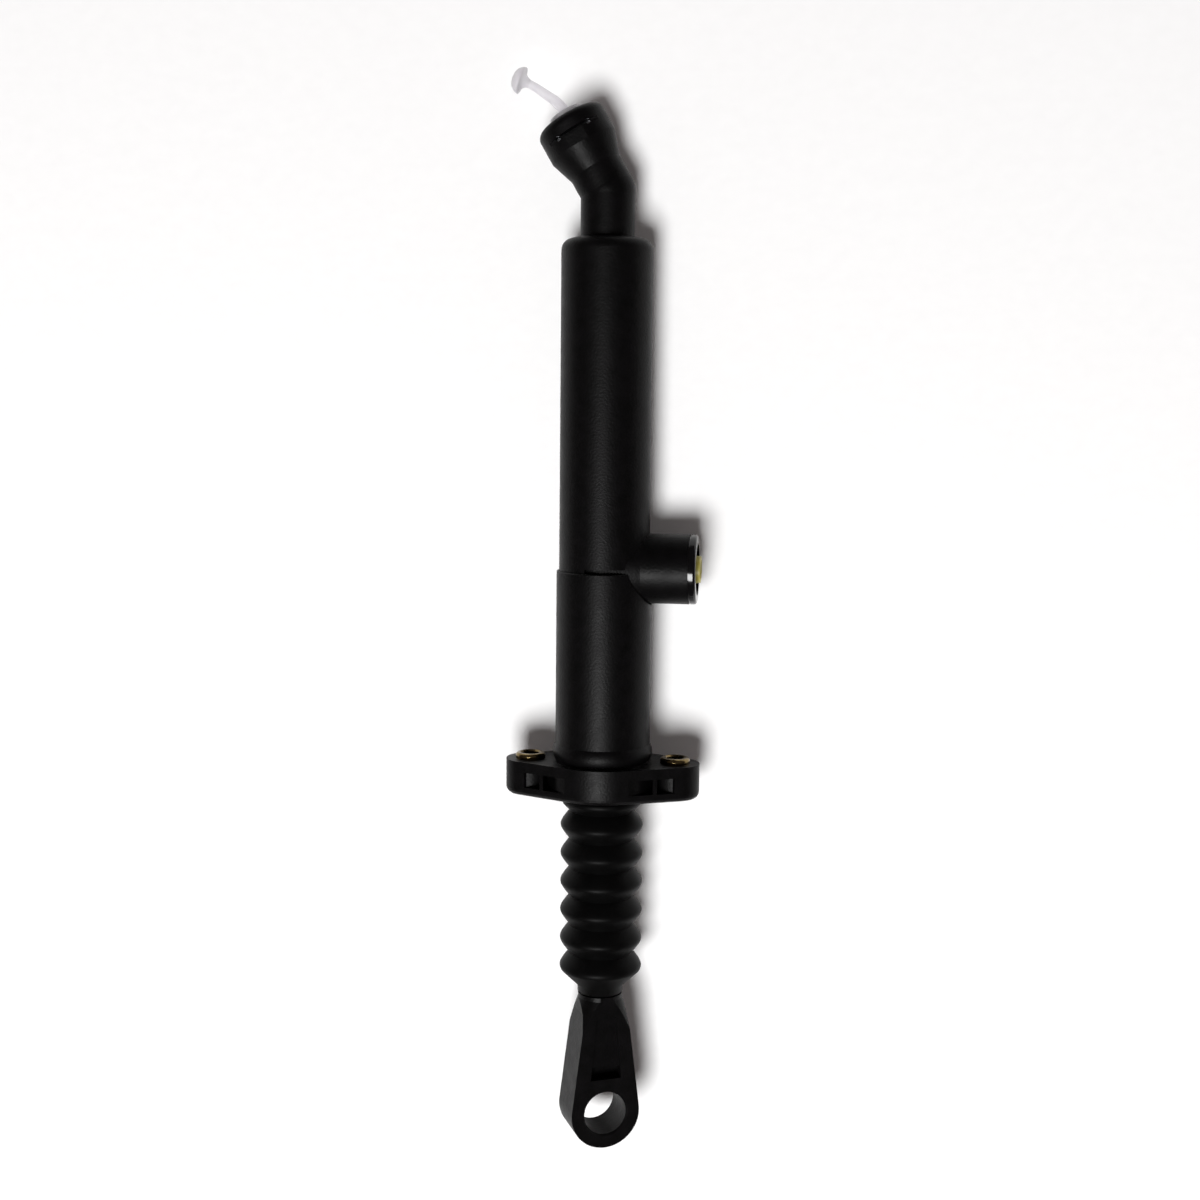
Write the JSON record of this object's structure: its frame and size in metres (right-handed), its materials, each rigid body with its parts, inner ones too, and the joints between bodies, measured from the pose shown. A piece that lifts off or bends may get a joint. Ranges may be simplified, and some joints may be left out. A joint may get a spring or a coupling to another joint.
{
  "type": "hydraulic master cylinder",
  "caption": "Moulded hydraulic master cylinder with an elbow outlet, side inlet, bolt flange, bellows boot and a push rod that ends in an eye.",
  "frame": {"origin": "on the bore axis, in the upper (mounting) face of the flange, midway between the two bolt holes", "axes": "+Z along the bore towards the outlet, +X along the bolt line towards the inlet socket, -Y the front that the picture shows"},
  "size_m": [0.0703, 0.0394, 0.3863],
  "materials": {
    "black_nylon": "moulded glass-filled nylon, satin",
    "gloss_nylon": "moulded nylon, glossy",
    "brass": "turned, bright",
    "spring_steel": "drawn wire, bright",
    "seal_rubber": "moulded seal rubber",
    "boot_rubber": "moulded bellows rubber, dull sheen",
    "white_polythene": "soft translucent polythene",
    "yellow_polythene": "soft polythene",
    "acetal": "moulded acetal",
    "aluminium": "turned"
  },
  "bodies": {
    "housing_body": {"cylinder_housing": "black_nylon", "flange_sleeve": "black_nylon", "left_bushing": "brass", "right_bushing": "brass", "inlet_end_ring": "gloss_nylon", "inlet_seal": "seal_rubber", "body_o_ring": "seal_rubber", "guide_bush": "acetal", "stop_washer": "spring_steel", "retaining_ring": "spring_steel", "boot_ring": "spring_steel", "return_spring": "spring_steel"},
    "piston_body": {"piston": "aluminium", "spring_seat": "acetal", "primary_cup": "seal_rubber", "secondary_seal": "seal_rubber", "snap_ring": "spring_steel"},
    "socket_body": {"ball_socket": "acetal"},
    "rod_body": {"push_rod": "spring_steel", "rod_eye": "black_nylon", "dust_boot": "boot_rubber"},
    "outlet_plug_body": {"outlet_plug": "white_polythene"},
    "inlet_plug_body": {"inlet_plug": "yellow_polythene"},
    "outlet_clip_body": {"outlet_clip": "spring_steel"}
  },
  "joints": [
    {"name": "piston_stroke", "type": "slide", "parent": "housing_body", "child": "piston_body", "axis": [0, 0, 1], "range_m": [0, 0.034], "stiffness_N_per_m": 1200, "springref_m": -0.03, "deforming": ["return_spring", "dust_boot"]},
    {"name": "rod_turn", "type": "hinge", "parent": "piston_body", "child": "socket_body", "pos_m": [0, 0, 0.0031], "axis": [0, 0, 1], "continuous": true},
    {"name": "rod_swing", "type": "hinge", "parent": "socket_body", "child": "rod_body", "pos_m": [0, 0, 0.0031], "axis": [0.4384, -0.8988, 0], "range_deg": [-3, 3]},
    {"name": "outlet_plug_pull", "type": "slide", "parent": "housing_body", "child": "outlet_plug_body", "axis": [-0.5, 0, 0.866], "range_m": [0, 0.02]},
    {"name": "inlet_plug_pull", "type": "slide", "parent": "housing_body", "child": "inlet_plug_body", "axis": [1, 0, 0], "range_m": [0, 0.02]},
    {"name": "outlet_clip_release", "type": "slide", "parent": "housing_body", "child": "outlet_clip_body", "axis": [0, 1, 0], "range_m": [0, 0.005]}
  ]
}
